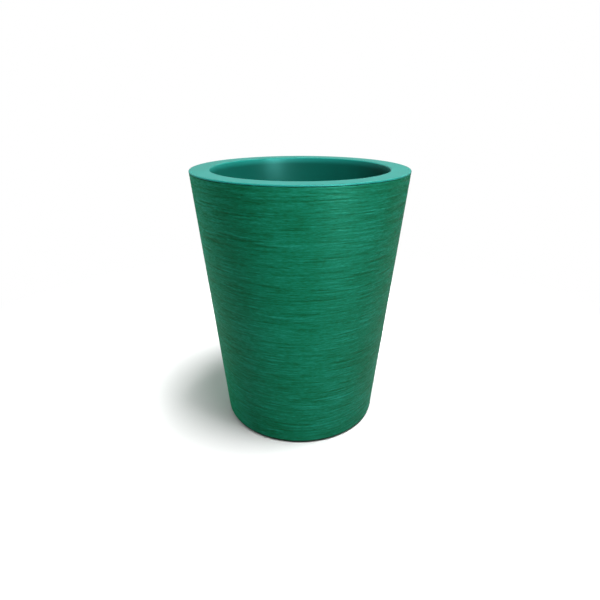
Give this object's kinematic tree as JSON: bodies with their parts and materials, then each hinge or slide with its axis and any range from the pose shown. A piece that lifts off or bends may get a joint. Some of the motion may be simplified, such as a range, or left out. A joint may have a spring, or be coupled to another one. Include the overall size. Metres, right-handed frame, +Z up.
{
  "type": "florist bucket",
  "caption": "Tall tapered florist bucket: brushed outer shell, lift-out liner with a wide flat rim and folding bail, drain with pull-out plug, and push-in feet.",
  "frame": {"origin": "on the floor, at the centre of the base", "axes": "+Z up the bucket's axis; the front is -Y; the handle's pivots lie along X, and the folded handle lies towards +Y"},
  "size_m": [0.3979, 0.398, 0.5],
  "materials": {
    "brushed_shell": "satin, scored with fine lines that run round the wall",
    "smooth_liner": "smooth satin",
    "grip_plastic": "ribbed matte",
    "zinc_wire": "zinc plated",
    "white_nylon": "matte",
    "black_rubber": "matte"
  },
  "bodies": {
    "shell": {"outer_shell": "brushed_shell", "foot_front_left": "black_rubber", "foot_front_right": "black_rubber", "foot_back_left": "black_rubber", "foot_back_right": "black_rubber"},
    "liner": {"liner_bucket": "smooth_liner", "bail_bush_left": "white_nylon", "bail_bush_right": "white_nylon", "drain_fitting": "white_nylon", "drain_gasket": "black_rubber", "drain_nut": "white_nylon"},
    "bail": {"bail_wire": "zinc_wire", "bail_grip": "grip_plastic", "bail_retainer_left": "zinc_wire", "bail_retainer_right": "zinc_wire"},
    "plug": {"drain_plug": "black_rubber", "plug_seal_ring": "black_rubber"}
  },
  "joints": [
    {"name": "liner_lift", "type": "slide", "parent": "shell", "child": "liner", "axis": [0, 0, 1], "range_m": [0, 0.5]},
    {"name": "bail_swing", "type": "hinge", "parent": "liner", "child": "bail", "pos_m": [0, 0, 0.438], "axis": [1, 0, 0], "range_deg": [0, 180]},
    {"name": "plug_pull", "type": "slide", "parent": "liner", "child": "plug", "axis": [0, 0, 1], "range_m": [0, 0.47]}
  ]
}
